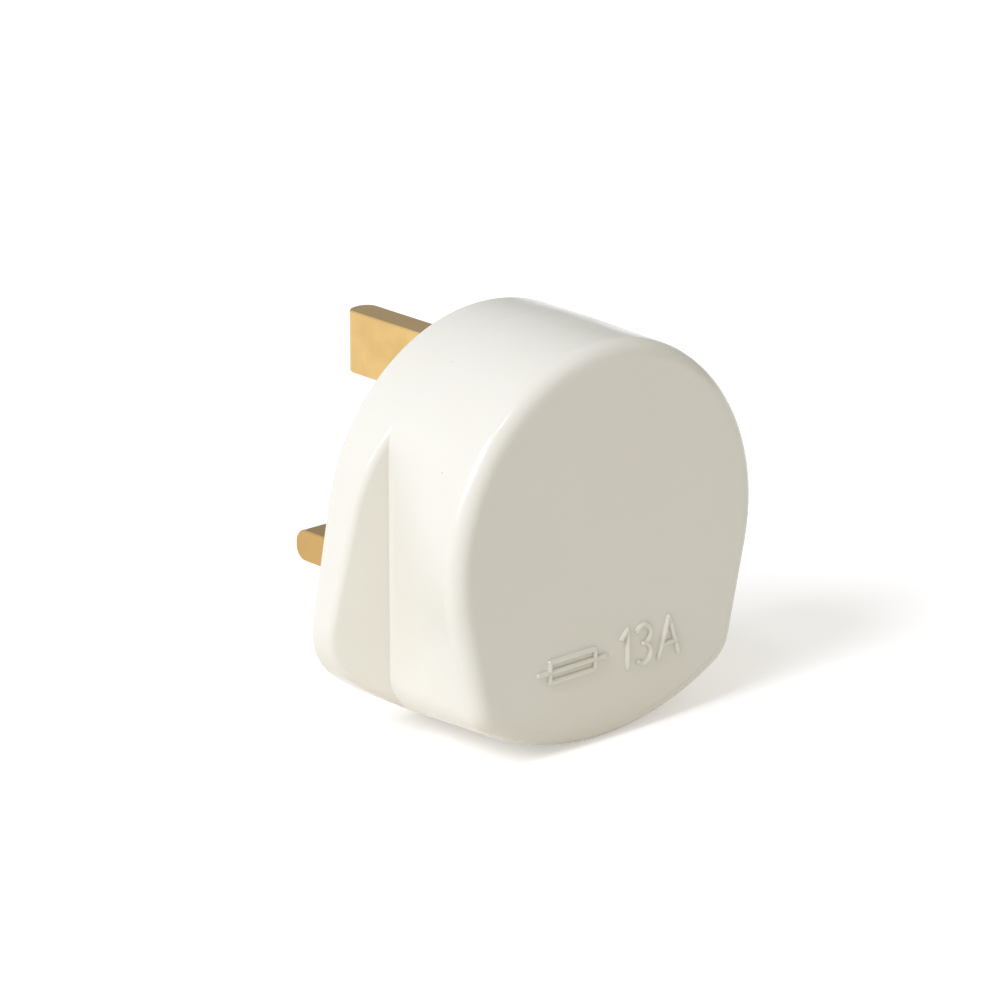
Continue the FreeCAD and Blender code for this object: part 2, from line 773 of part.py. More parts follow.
def make_fuse_clip(label, foot):
    """A spring clip of sheet brass: a split ring round the fuse's cap, on a flat foot."""
    body = new_body(label, x="pin_offset", y="-fuse_axis_depth", z=foot)
    ring = new_sketch(body, "clip_ring", "XY_Plane")
    draw_circle(ring, "0", "0", "clip_outer")
    draw_circle(ring, "0", "0", "clip_inner")
    pad(body, ring, "clip_length")
    base = new_sketch(body, "clip_foot", "XY_Plane")
    draw_rectangle(base, "-clip_foot_half_width", "clip_foot_half_width", "clip_inner", "clip_outer")
    pad(body, base, "clip_length")
    mouth = new_sketch(body, "clip_mouth", "XY_Plane")
    half = "clip_mouth_half_width"
    draw_rectangle(mouth, mirrored(half), half, "-clip_outer - cut_overrun", "0")
    pocket(body, mouth, "clip_length", along_normal=True)
    hole = new_sketch(body, "rivet_hole")
    draw_circle(hole, "0", "clip_length / 2", "rivet_radius")
    pocket(body, hole, "clip_outer")


def make_rivet(label, foot):
    """A flush rivet that fastens a fuse clip to its seat."""
    body = new_body(label, x="pin_offset", y="-base_thickness", z=f"{foot} + clip_length / 2")
    section = new_sketch(body, "rivet_section")
    draw_circle(section, "0", "0", "rivet_radius")
    pad(body, section, "fuse_seat_depth + clip_sheet")


def make_fuse():
    """The cartridge fuse: a ceramic barrel with a metal cap on each end."""
    barrel_foot = "fuse_foot_height + fuse_cap_end"
    barrel = new_body("fuse_barrel", x="pin_offset", y="-fuse_axis_depth", z=barrel_foot)
    section = new_sketch(barrel, "barrel_section", "XY_Plane")
    draw_circle(section, "0", "0", "fuse_radius - fuse_cap_wall")
    pad(barrel, section, "fuse_length - 2 * fuse_cap_end")
    turned = FreeCAD.Rotation(FreeCAD.Vector(1, 0, 0), 180)
    ends = (
        ("fuse_cap_lower", "fuse_foot_height", None),
        ("fuse_cap_upper", "fuse_foot_height + fuse_length", turned),
    )
    for label, end, rotation in ends:
        cap = new_body(label, x="pin_offset", y="-fuse_axis_depth", z=end, rotation=rotation)
        outside = new_sketch(cap, "cap_section", "XY_Plane")
        draw_circle(outside, "0", "0", "fuse_radius")
        pad(cap, outside, "fuse_cap_length")
        inside = new_sketch(cap, "cap_bore", "XY_Plane", "fuse_cap_length")
        draw_circle(inside, "0", "0", "fuse_radius - fuse_cap_wall")
        pocket(cap, inside, "fuse_cap_length - fuse_cap_end")


def make_screw(label, place, shank, head, slot, rotation=None):
    """A slotted cheese-head screw, with its origin under the head and its shank along +Y."""
    shank_radius, shank_length = shank
    head_radius, head_height = head
    slot_width, slot_depth = slot
    x, y, z = place
    body = new_body(label, x, y, z, rotation)
    disc = new_sketch(body, "head_section")
    draw_circle(disc, "0", "0", head_radius)
    pad(body, disc, head_height)
    rod = new_sketch(body, "shank_section")
    draw_circle(rod, "0", "0", shank_radius)
    pad(body, rod, shank_length, to_pins=True)
    groove = new_sketch(body, "driver_slot", offset=head_height)
    half = f"({slot_width} / 2)"
    end = f"({head_radius} + cut_overrun)"
    draw_rectangle(groove, mirrored(end), end, mirrored(half), half)
    pocket(body, groove, slot_depth)


def make_screws():
    """The terminal, clamp and cover screws."""
    slot = ("slot_width", "slot_depth")
    shank = ("terminal_screw_radius", "terminal_screw_length")
    wide = ("terminal_head_radius", "screw_head_height")
    slim = ("live_head_radius", "screw_head_height")
    make_screw("earth_terminal_screw", ("0", "-terminal_top", "pin_offset"), shank, wide, slot)
    make_screw("neutral_terminal_screw", ("-pin_offset", "-terminal_top", "-pin_offset"), shank, wide, slot)
    live_place = ("terminal_hole_x", "-terminal_top", "terminal_hole_z")
    make_screw("live_terminal_screw", live_place, shank, slim, slot)
    clamp_shank = ("clamp_screw_radius", "clamp_screw_length")
    clamp_head = ("clamp_head_radius", "screw_head_height")
    clamp_top = "-pillar_top - clamp_bar_thickness"
    for label, x in (
        ("cord_clamp_screw_left", "-clamp_screw_offset"),
        ("cord_clamp_screw_right", "clamp_screw_offset"),
    ):
        make_screw(label, (x, clamp_top, "clamp_height"), clamp_shank, clamp_head, slot)
    facing_wall = FreeCAD.Rotation(FreeCAD.Vector(0, 0, 1), 180)
    make_screw(
        "cover_screw",
        ("0", "-cover_screw_seat", "cover_screw_height"),
        ("cover_screw_radius", "cover_screw_length"),
        ("cover_screw_head_radius", "cover_screw_head_height"),
        ("cover_screw_slot_width", "cover_screw_slot_depth"),
        facing_wall,
    )


def make_cord_clamp():
    """The bar that holds the cord down, hollowed where it presses on the sheath."""
    body = new_body("cord_clamp_bar", y="-pillar_top", z="clamp_height")
    outline = new_sketch(body, "bar_outline")
    half = "(clamp_screw_offset + clamp_bar_overhang)"
    rise = "(clamp_bar_width / 2)"
    draw_loop(
        outline,
        [(mirrored(half), mirrored(rise)), (half, mirrored(rise)), (half, rise), (mirrored(half), rise)],
        {1: HALF_TURN, 3: HALF_TURN},
    )
    pad(body, outline, "clamp_bar_thickness")
    groove = new_sketch(body, "cord_groove", "XY_Plane")
    draw_circle(groove, "0", "clamp_groove_radius - clamp_groove_depth", "clamp_groove_radius")
    pocket(body, groove, "2 * clamp_bar_width", both_ways=True)
    holes = new_sketch(body, "screw_holes")
    for side in ("clamp_screw_offset", "-clamp_screw_offset"):
        draw_circle(holes, side, "0", "clamp_screw_radius + fit_clearance")
    pocket(body, holes, "clamp_bar_thickness", along_normal=True)


def make_ring(label, start, outer, inner, length):
    """A ring round the cover screw."""
    body = new_body(label, y=mirrored(start), z="cover_screw_height")
    section = new_sketch(body, "ring_section")
    draw_circle(section, "0", "0", outer)
    draw_circle(section, "0", "0", inner)
    pad(body, section, length)


make_cover()
make_base()
make_earth_pin()
make_neutral_pin()
make_live_pin()
make_sleeve("neutral_pin_sleeve", "-pin_offset")
make_sleeve("live_pin_sleeve", "pin_offset")
make_live_terminal()
for clip_end, clip_foot in (("lower", "lower_clip_foot"), ("upper", "upper_clip_foot")):
    make_fuse_clip(f"fuse_clip_{clip_end}", clip_foot)
    make_rivet(f"fuse_clip_rivet_{clip_end}", clip_foot)
make_fuse()
make_screws()
make_cord_clamp()
screw_hole = "cover_screw_radius + fit_clearance"
make_ring("screw_retaining_washer", "base_boss_top", "washer_radius", screw_hole, "washer_thickness")
make_ring("cover_screw_insert", "cover_boss_end", "insert_radius", screw_hole, "insert_length")
doc.recompute()

for item in doc.Objects:
    if "Invalid" in item.State or "Error" in item.State:
        raise RuntimeError(f"{item.Label} failed: {item.State}")
for sub_part in sub_parts:
    if sub_part.Shape.isNull() or not sub_part.Shape.isValid():
        raise RuntimeError(f"{sub_part.Label} has no valid shape")

os.makedirs("parts", exist_ok=True)
for sub_part in sub_parts:
    sub_part.Shape.exportStep(f"parts/{sub_part.Label}.step")
    print(f"{sub_part.Label}: {sub_part.Shape.Volume:.1f} cubic mm, {len(sub_part.Shape.Solids)} solid")
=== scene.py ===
# %% [markdown]
# # A three-pin mains plug in a small studio
# The plug is a real product with exact sizes, so its solids come ready made: cover, base, pins, fuse,
# screws and clamp. This lesson gives them their looks. It sets a camera and soft light, makes finishes
# out of shader nodes, and models the raised marks that the mould leaves on the back of the cover.

import math

import bmesh
import bpy
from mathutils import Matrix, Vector


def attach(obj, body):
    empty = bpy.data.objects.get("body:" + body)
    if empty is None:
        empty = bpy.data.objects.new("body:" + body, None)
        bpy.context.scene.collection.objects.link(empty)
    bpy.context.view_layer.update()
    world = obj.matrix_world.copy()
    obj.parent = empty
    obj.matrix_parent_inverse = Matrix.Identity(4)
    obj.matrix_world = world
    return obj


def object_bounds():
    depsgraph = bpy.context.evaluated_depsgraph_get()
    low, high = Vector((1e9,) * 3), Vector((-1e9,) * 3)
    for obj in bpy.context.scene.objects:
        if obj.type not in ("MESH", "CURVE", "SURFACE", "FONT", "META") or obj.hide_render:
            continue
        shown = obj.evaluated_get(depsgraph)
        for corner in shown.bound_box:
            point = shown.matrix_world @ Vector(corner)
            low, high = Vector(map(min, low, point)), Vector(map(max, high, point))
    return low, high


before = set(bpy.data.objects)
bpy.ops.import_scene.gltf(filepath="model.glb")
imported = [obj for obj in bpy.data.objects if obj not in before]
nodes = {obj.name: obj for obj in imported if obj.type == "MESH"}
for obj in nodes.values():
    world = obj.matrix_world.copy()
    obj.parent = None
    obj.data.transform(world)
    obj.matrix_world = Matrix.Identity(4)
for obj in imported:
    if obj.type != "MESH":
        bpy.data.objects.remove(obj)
cad_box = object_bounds()
scene = bpy.context.scene
scene.view_settings.view_transform = "Standard"
MM = 0.001


def sides_in_mm(box):
    """The lengths of a box's sides, from its lowest and highest corners."""
    return [round((high - low) / MM, 2) for low, high in zip(*box)]


print("solids:", len(nodes), "box in mm:", sides_in_mm(cad_box))

# %% [markdown]
# ## Camera
# The plug is seen from behind its left shoulder and a little from above. A long lens keeps upright
# edges parallel, as in a product photograph. The camera is placed by two angles and a distance from
# the point it aims at, because angles are easier to compare with a picture than three coordinates.

# %% Camera
AZIMUTH = math.radians(-42.0)
ELEVATION = math.radians(18.5)
DISTANCE = 0.65
AIM = Vector((0.0004, -0.0023, -0.0033))
LENS_MM = 196.0
NEAREST_SEEN = 0.01
towards_camera = Vector((
    math.sin(AZIMUTH) * math.cos(ELEVATION),
    -math.cos(AZIMUTH) * math.cos(ELEVATION),
    math.sin(ELEVATION),
))
camera = bpy.data.objects.new("studio_camera", bpy.data.cameras.new("studio_camera"))
camera.data.lens = LENS_MM
camera.data.clip_start = NEAREST_SEEN
camera.location = AIM + towards_camera * DISTANCE
camera.rotation_euler = (-towards_camera).to_track_quat("-Z", "Y").to_euler()
scene.collection.objects.link(camera)
scene.camera = camera
print("camera stands at", [round(x, 3) for x in camera.location])

# %% [markdown]
# ## Floor
# The floor is one wide sheet just under the flat land on which the plug stands. A grid of one square
# is enough for it, because nothing bends.

# %% Floor
FLOOR_HALF_SIZE = 6.0
FLOOR_GAP = 0.02 * MM
floor_level = cad_box[0].z - FLOOR_GAP
floor_mesh = bpy.data.meshes.new("studio_floor")
sheet = bmesh.new()
bmesh.ops.create_grid(sheet, x_segments=1, y_segments=1, size=FLOOR_HALF_SIZE)
bmesh.ops.translate(sheet, verts=sheet.verts, vec=(0.0, 0.0, floor_level))
sheet.to_mesh(floor_mesh)
sheet.free()
floor = bpy.data.objects.new("studio_floor", floor_mesh)
scene.collection.objects.link(floor)
print("floor at", round(floor_level / MM, 2), "mm")

# %% [markdown]
# ### Floor paper
# The paper is pale, dull and a little warm, so it throws warm light back up into the shaded faces. Where
# the eye or a shiny surface looks at it, a little light is added, which lifts it to paper white and still
# leaves a soft shadow. Without that lift the floor would need more light, and the plug would be too bright.
# Two helpers come first, because every node needs its options set and its inputs filled.

# %% Helpers that add nodes
def add_node(tree, kind, inputs=None, **settings):
    """Add a node, set its options, and fill its inputs with numbers or with other nodes' outputs."""
    node = tree.nodes.new(kind)
    for option, choice in settings.items():
        setattr(node, option, choice)
    for socket, content in (inputs or {}).items():
        if isinstance(content, bpy.types.NodeSocket):
            tree.links.new(content, node.inputs[socket])
        else:
            node.inputs[socket].default_value = content
    return node


def calculate(tree, operation, first, second, **settings):
    """The result of one sum with two numbers or outputs."""
    node = add_node(tree, "ShaderNodeMath", {0: first, 1: second}, operation=operation, **settings)
    return node.outputs[0]


# %% Floor paper
FLOOR_COLOUR = (0.9, 0.865, 0.79, 1.0)
FLOOR_LIFT = 0.42
floor_paper = bpy.data.materials.new("floor_paper")
floor_paper.use_nodes = True
paper = floor_paper.node_tree
paper.nodes.clear()
ray = add_node(paper, "ShaderNodeLightPath").outputs
looked_at = calculate(paper, "MAXIMUM", ray["Is Camera Ray"], ray["Is Glossy Ray"])
lift = calculate(paper, "MULTIPLY", looked_at, FLOOR_LIFT)
dull = add_node(paper, "ShaderNodeBsdfDiffuse", {"Color": FLOOR_COLOUR})
glow = add_node(paper, "ShaderNodeEmission", {"Strength": lift})
both = add_node(paper, "ShaderNodeAddShader", {0: dull.outputs[0], 1: glow.outputs[0]})
add_node(paper, "ShaderNodeOutputMaterial", {"Surface": both.outputs[0]})
floor_mesh.materials.append(floor_paper)
print("floor paper is lifted by", FLOOR_LIFT)

# %% [markdown]
# ## Light
# One broad key light stands on the left and above, so the left side of the plug is bright and the
# back of the cover lies in calm shade. A sun lamp with a wide angle gives that soft light evenly over
# the whole floor. Two weak lamps with a small angle add little to the shade, but draw the bright line
# along the rounded edge of the back.

# %% Lamps
DAYLIGHT = (0.94, 1.0, 1.25)
KEY_DIRECTION = (-0.78, -0.03, 0.62)
KEY_STRENGTH = 1.84
KEY_SPREAD = 28.0
LOW_DIRECTION = (-0.95, 0.1, 0.3)
LOW_STRENGTH = 0.1
HIGH_DIRECTION = (-0.42, -0.22, 0.88)
HIGH_STRENGTH = 0.2
EDGE_SPREAD = 8.0


def hang_lamp(name, direction, strength, spread):
    """A sun lamp that shines from a direction, with a spread in degrees."""
    lamp = bpy.data.objects.new(name, bpy.data.lights.new(name, "SUN"))
    lamp.data.energy = strength
    lamp.data.angle = math.radians(spread)
    lamp.data.color = DAYLIGHT
    lamp.rotation_euler = Vector(direction).to_track_quat("Z", "Y").to_euler()
    scene.collection.objects.link(lamp)
    print(name, "has strength", strength)


hang_lamp("key_light", KEY_DIRECTION, KEY_STRENGTH, KEY_SPREAD)
hang_lamp("edge_light_low", LOW_DIRECTION, LOW_STRENGTH, EDGE_SPREAD)
hang_lamp("edge_light_high", HIGH_DIRECTION, HIGH_STRENGTH, EDGE_SPREAD)

# %% [markdown]
# ### World
# The world gives the fill light, and it is what the eye and shiny surfaces see round the plug. To the
# eye it is plain white. To shiny surfaces it is white on the key's side and falls to grey on the far
# side, as a real room does, so that the faces of the metal pins can be told apart.

# %% Helpers that compare and blend
def agreement(tree, first, second):
    """How far two directions agree, by their dot product."""
    pair = {0: first, 1: second}
    return add_node(tree, "ShaderNodeVectorMath", pair, operation="DOT_PRODUCT").outputs["Value"]


def remap(tree, value, old=(0.0, 1.0), new=(0.0, 1.0)):
    """A value taken from its old range to a new one, and held inside it."""
    ranges = {"From Min": old[0], "From Max": old[1], "To Min": new[0], "To Max": new[1]}
    return add_node(tree, "ShaderNodeMapRange", {"Value": value, **ranges}).outputs[0]


def blend_numbers(tree, mask, first, second):
    """The first number where the mask is 0 and the second where it is 1."""
    return add_node(tree, "ShaderNodeMix", {0: mask, 2: first, 3: second}, data_type="FLOAT").outputs[0]


# %% World
FILL = 0.42
FAR_SIDE = 0.38
TURN_TO_GREY = (-0.4, 0.4)
WHITE = (1.0, 1.0, 1.0, 1.0)
world = bpy.data.worlds.new("studio_world")
world.use_nodes = True
scene.world = world
sky = world.node_tree
sky.nodes.clear()
ray = add_node(sky, "ShaderNodeLightPath").outputs
direction = add_node(sky, "ShaderNodeTexCoord").outputs["Generated"]
room = remap(sky, agreement(sky, direction, KEY_DIRECTION), old=TURN_TO_GREY, new=(FAR_SIDE, 1.0))
mirrored = blend_numbers(sky, ray["Is Glossy Ray"], 1.0, room)
looked_at = calculate(sky, "MAXIMUM", ray["Is Camera Ray"], ray["Is Glossy Ray"])
shown = calculate(sky, "MAXIMUM", looked_at, ray["Is Transmission Ray"])
level = blend_numbers(sky, shown, FILL, mirrored)
air = add_node(sky, "ShaderNodeBackground", {"Color": WHITE, "Strength": level})
add_node(sky, "ShaderNodeOutputWorld", {"Surface": air.outputs[0]})
print("fill", FILL, "and far side", FAR_SIDE)

# %% [markdown]
# ## Shared effects
# Several finishes need the same small effects: slow clouds of tone, sparse specks, dust and painted shade in
# corners, rubbed edges, drawn lines and a change with height. Each one is a node group with named sockets,
# built once. Patterns are placed by the object's own coordinates, which are metres here, so a size in mm is
# first turned into steps to the metre.

# %% Helpers for groups
def start_group(name, inputs, output):
    """A node group with one float output, and its float inputs, given as name and start value."""
    group = bpy.data.node_groups.new(name, "ShaderNodeTree")
    for socket, start in inputs.items():
        made = group.interface.new_socket(socket, in_out="INPUT", socket_type="NodeSocketFloat")
        made.default_value = start
    group.interface.new_socket(output, in_out="OUTPUT", socket_type="NodeSocketFloat")
    return group, add_node(group, "NodeGroupInput").outputs


def close_group(group, value):
    """Lead a value to the group's output."""
    add_node(group, "NodeGroupOutput", {0: value})
    print("group:", group.name)


def steps_to_metre(group, size):
    """How many steps of a size in mm make a metre."""
    return calculate(group, "DIVIDE", 1.0 / MM, size)


def own_place(group):
    """The object's own coordinates."""
    return add_node(group, "ShaderNodeTexCoord").outputs["Object"]


def sized_place(group, size):
    """The object's own coordinates, counted in steps of a size in mm."""
    pair = {"Vector": own_place(group), "Scale": steps_to_metre(group, size)}
    return add_node(group, "ShaderNodeVectorMath", pair, operation="SCALE").outputs[0]


# %% [markdown]
# ### Clouds of tone
# No real surface is quite even: resin yellows, plating clouds over and brass tarnishes in patches. Noise
# makes such patches without an edge. It rarely leaves its middle, so it is stretched to the full range.

# %% Clouds of tone
NOISE_RANGE = (0.3, 0.7)


def noise_tone(group, place, detail):
    """Noise with about one patch to each step of the place, stretched to the full range."""
    noise = add_node(group, "ShaderNodeTexNoise", {"Vector": place, "Scale": 1.0, "Detail": detail})
    return remap(group, noise.outputs[0], old=NOISE_RANGE)


clouds, entry = start_group("clouds", {"Size mm": 8.0, "Detail": 3.0}, "Tone")
close_group(clouds, noise_tone(clouds, sized_place(clouds, entry["Size mm"]), entry["Detail"]))

# %% [markdown]
# ### Sparse specks
# A dark grain of powder shows here and there in a pressed resin. Voronoi cells spread possible places
# evenly, and each cell's random colour decides whether it has a speck, which keeps them rare.

# %% Sparse specks
specks, entry = start_group("specks", {"Spacing mm": 2.0, "Radius": 0.06, "Rarity": 0.93}, "Mask")
place = sized_place(specks, entry["Spacing mm"])
cells = add_node(specks, "ShaderNodeTexVoronoi", {"Vector": place, "Scale": 1.0}).outputs
near = calculate(specks, "LESS_THAN", cells["Distance"], entry["Radius"])
lot = add_node(specks, "ShaderNodeSeparateColor", {0: cells["Color"]}).outputs[0]
picked = calculate(specks, "GREATER_THAN", lot, entry["Rarity"])
close_group(specks, calculate(specks, "MULTIPLY", near, picked))

# %% [markdown]
# ### Dust, painted shade and wear
# Dust stays where a cloth can't reach, and edges are rubbed where a hand or a socket does reach. The
# first is read from how much open air a point sees, and its colour is laid on as dust and as painted
# shade in corners and recesses. The second is read from how far a softened normal turns away from the
# true one, which it does only near an edge.

# %% Dust and painted shade in corners
corner_dust_and_shade, entry = start_group("corner_dust_and_shade", {"Reach m": 0.003}, "Mask")
reach = {"Distance": entry["Reach m"]}
open_air = add_node(corner_dust_and_shade, "ShaderNodeAmbientOcclusion", reach, samples=8).outputs["AO"]
# The mask rises where little open air is seen, so it paints shade into corners and recesses, along with some
# dust.
close_group(corner_dust_and_shade, calculate(corner_dust_and_shade, "SUBTRACT", 1.0, open_air))

# %% Rubbed edges
rubbed_edges, entry = start_group("rubbed_edges", {"Width m": 0.0004, "Gain": 4.0}, "Mask")
width = {"Radius": entry["Width m"]}
softened = add_node(rubbed_edges, "ShaderNodeBevel", width, samples=6).outputs[0]
true_normal = add_node(rubbed_edges, "ShaderNodeNewGeometry").outputs["Normal"]
turn = calculate(rubbed_edges, "SUBTRACT", 1.0, agreement(rubbed_edges, softened, true_normal))
close_group(rubbed_edges, calculate(rubbed_edges, "MULTIPLY", turn, entry["Gain"], use_clamp=True))

# %% [markdown]
# ### Drawn lines and height
# Bar that is drawn through a die keeps fine lines along its length, which on the pins is Y. Noise turns
# into such lines when it is squeezed across that direction. The other effect here is a plain fade from
# one height to another, for a tone that differs between the upper and the lower pins.

# %% Drawn lines
LINE_DETAIL = 2.0
drawn_lines, entry = start_group("drawn_lines", {"Pitch mm": 0.25, "Length mm": 18.0}, "Tone")
fine = steps_to_metre(drawn_lines, entry["Pitch mm"])
coarse = steps_to_metre(drawn_lines, entry["Length mm"])
squeeze = add_node(drawn_lines, "ShaderNodeCombineXYZ", {0: fine, 1: coarse, 2: fine}).outputs[0]
pair = {0: own_place(drawn_lines), 1: squeeze}
stretched = add_node(drawn_lines, "ShaderNodeVectorMath", pair, operation="MULTIPLY").outputs[0]
close_group(drawn_lines, noise_tone(drawn_lines, stretched, LINE_DETAIL))

# %% Change with height
below_level, entry = start_group("below_level", {"Top mm": 0.0, "Bottom mm": -10.0}, "Mask")
upright = add_node(below_level, "ShaderNodeSeparateXYZ", {0: own_place(below_level)}).outputs["Z"]
height = calculate(below_level, "MULTIPLY", upright, 1.0 / MM)
close_group(below_level, remap(below_level, height, old=(entry["Top mm"], entry["Bottom mm"])))

# %% [markdown]
# ## Finishes
# Every finish is a Principled shader. What is the same all over goes straight on its sockets, and only
# what changes over the surface comes from nodes. Small helpers keep each finish short: they start a
# material, place a group, lay one colour over another, lead the patterns to the shader, and give the
# finish to the solids.

# %% Helpers for finishes
def start_finish(name, constants):
    """A material with one Principled shader and its constant sockets set."""
    material = bpy.data.materials.new(name)
    material.use_nodes = True
    tree = material.node_tree
    tree.nodes.clear()
    shader = add_node(tree, "ShaderNodeBsdfPrincipled", constants)
    add_node(tree, "ShaderNodeOutputMaterial", {"Surface": shader.outputs[0]})
    return material, tree, shader


def place_group(tree, group, inputs):
    """Put a shared effect into a material and hand back its only output."""
    return add_node(tree, "ShaderNodeGroup", inputs, node_tree=group).outputs[0]


def blend_colours(tree, mask, first, second):
    """The first colour where the mask is 0 and the second where it is 1."""
    return add_node(tree, "ShaderNodeMix", {0: mask, 6: first, 7: second}, data_type="RGBA").outputs[2]


def lay_over(tree, tone, colour, mask, share):
    """A tone with a share of a colour laid over it where the mask is 1."""
    return blend_colours(tree, remap(tree, mask, new=(0.0, share)), tone, colour)


def feed_shader(tree, shader, tone, roughness, height, depth):
    """Lead a tone, a roughness, and bumps with a depth in metres to the shader."""
    tree.links.new(tone, shader.inputs["Base Color"])
    tree.links.new(roughness, shader.inputs["Roughness"])
    bumps = add_node(tree, "ShaderNodeBump", {"Strength": 1.0, "Distance": depth, "Height": height})
    tree.links.new(bumps.outputs[0], shader.inputs["Normal"])


def dress(material, *names):
    """Give a finish to solids by name."""
    for name in names:
        nodes[name].material_slots[0].material = material
    print(material.name, "on", ", ".join(names))


# %% [markdown]
# ### Ivory thermoset
# The cover and base are pressed from a hard ivory resin. It is glossy and nearly even, with a slow
# drift towards yellow, a rare dark speck from the moulding powder, painted shade and dust in the corners,
# and a very fine ripple that breaks up reflections. A little light enters the surface, which softens it.

# %% Ivory thermoset
IVORY = (0.87, 0.83, 0.685, 1.0)
AGED_IVORY = (0.864, 0.819, 0.664, 1.0)
# The colour of dust and of the painted shade laid into corners and recesses.
CORNER_DUST_AND_SHADE = (0.52, 0.46, 0.34, 1.0)
POWDER_SPECK = (0.2, 0.16, 0.1, 1.0)
RESIN = {
    "IOR": 1.52,
    "Subsurface Weight": 0.12,
    "Subsurface Radius": (1.0, 0.8, 0.5),
    "Subsurface Scale": 0.0012,
}


def ivory_finish(name, roughness, ripple_depth):
    """Ivory resin whose roughness drifts between two values."""
    material, tree, shader = start_finish(name, RESIN)
    drift = place_group(tree, clouds, {"Size mm": 16.0, "Detail": 2.0})
    dust_and_shade = place_group(tree, corner_dust_and_shade, {"Reach m": 0.008})
    speck = place_group(tree, specks, {"Spacing mm": 3.0, "Radius": 0.035, "Rarity": 0.97})
    tone = blend_colours(tree, drift, IVORY, AGED_IVORY)
    # Painted shade with some dust: corners and the recess within 8 mm are darkened by this colour.
    tone = lay_over(tree, tone, CORNER_DUST_AND_SHADE, dust_and_shade, share=0.4)
    tone = lay_over(tree, tone, POWDER_SPECK, speck, share=0.7)
    smear = place_group(tree, clouds, {"Size mm": 5.0, "Detail": 4.0})
    ripple = place_group(tree, clouds, {"Size mm": 1.6, "Detail": 2.0})
    feed_shader(tree, shader, tone, remap(tree, smear, new=roughness), ripple, ripple_depth)
    return material


cover_ivory = ivory_finish("cover_ivory", roughness=(0.17, 0.27), ripple_depth=0.004 * MM)
base_ivory = ivory_finish("base_ivory", roughness=(0.3, 0.42), ripple_depth=0.006 * MM)
dress(cover_ivory, "cover")
dress(base_ivory, "base")

# %% [markdown]
# ### Brass
# The pins are cut from drawn bar, so fine lines run along them. Handling leaves a brown tarnish in
# clouds, and the edges stay bright where they rub in the socket. The metal below the middle is
# browner, which darkens the two lower pins. The terminals and clips are the same metal with their own
# tone, so one function makes all three.

# %% Brass
LINE_DEPTH = 0.002 * MM


def brass_finish(name, bright, tarnish, roughness, stain_share):
    """Brass with faint drawn lines, tarnish in clouds and bright edges."""
    material, tree, shader = start_finish(name, {"Metallic": 1.0})
    lines = place_group(tree, drawn_lines, {"Pitch mm": 0.1, "Length mm": 20.0})
    stain = place_group(tree, clouds, {"Size mm": 4.0, "Detail": 4.0})
    browner_below = place_group(tree, below_level, {"Top mm": 2.0, "Bottom mm": -8.0})
    edge = place_group(tree, rubbed_edges, {"Width m": 0.0004, "Gain": 5.0})
    tone = lay_over(tree, bright, tarnish, stain, stain_share)
    tone = lay_over(tree, tone, tarnish, lines, share=0.12)
    # The metal is made browner below the middle.
    tone = lay_over(tree, tone, tarnish, browner_below, share=0.8)
    tone = lay_over(tree, tone, bright, edge, share=0.6)
    feed_shader(tree, shader, tone, remap(tree, stain, new=roughness), lines, LINE_DEPTH)
    return material


# %% Pins, terminals and clips
drawn_brass = brass_finish(
    "drawn_brass",
    bright=(0.78, 0.535, 0.212, 1.0),
    tarnish=(0.53, 0.33, 0.118, 1.0),
    roughness=(0.16, 0.28),
    stain_share=0.4,
)
machined_brass = brass_finish(
    "machined_brass",
    bright=(0.76, 0.53, 0.22, 1.0),
    tarnish=(0.55, 0.37, 0.16, 1.0),
    roughness=(0.25, 0.4),
    stain_share=0.6,
)
clip_brass = brass_finish(
    "clip_brass",
    bright=(0.79, 0.6, 0.3, 1.0),
    tarnish=(0.6, 0.43, 0.22, 1.0),
    roughness=(0.2, 0.32),
    stain_share=0.5,
)
dress(drawn_brass, "earth_pin", "neutral_pin", "live_pin")
dress(machined_brass, "live_terminal", "cover_screw_insert", "fuse_clip_rivet_lower", "fuse_clip_rivet_upper")
dress(clip_brass, "fuse_clip_lower", "fuse_clip_upper")

# %% [markdown]
# ### Plated steel
# The screws are zinc plated and the fuse caps are nickel plated. Both are grey metals that differ in
# gloss: zinc is cloudy and a little blue, nickel is smoother and warmer. So one function makes both, and
# the same clouds drive tone, gloss and bumps, as they do on real plating.

# %% Plated steel
PLATING_DEPTH = 0.004 * MM


def plated_finish(name, bright, dull, roughness):
    """Plated metal with cloudy tone and rubbed edges."""
    material, tree, shader = start_finish(name, {"Metallic": 1.0})
    cloud = place_group(tree, clouds, {"Size mm": 1.2, "Detail": 4.0})
    edge = place_group(tree, rubbed_edges, {"Width m": 0.0003, "Gain": 5.0})
    tone = blend_colours(tree, cloud, bright, dull)
    tone = lay_over(tree, tone, bright, edge, share=0.5)
    feed_shader(tree, shader, tone, remap(tree, cloud, new=roughness), cloud, PLATING_DEPTH)
    return material


zinc_steel = plated_finish(
    "zinc_steel",
    bright=(0.64, 0.65, 0.66, 1.0),
    dull=(0.54, 0.55, 0.55, 1.0),
    roughness=(0.28, 0.4),
)
nickel_cap = plated_finish(
    "nickel_cap",
    bright=(0.76, 0.74, 0.7, 1.0),
    dull=(0.66, 0.64, 0.6, 1.0),
    roughness=(0.12, 0.24),
)
dress(zinc_steel, "earth_terminal_screw", "neutral_terminal_screw", "live_terminal_screw")
dress(zinc_steel, "cord_clamp_screw_left", "cord_clamp_screw_right", "cover_screw")
dress(nickel_cap, "fuse_cap_lower", "fuse_cap_upper")

# %% [markdown]
# ### Sleeves, fuse barrel and fibre
# The remaining pieces are not metal. The pin sleeves are black and slightly rubbed, the fuse barrel is
# white glazed ceramic, and the clamp bar and washer are pressed fibre. They differ in colour, in gloss,
# and in the size and depth of their grain, so those are what one function asks for.

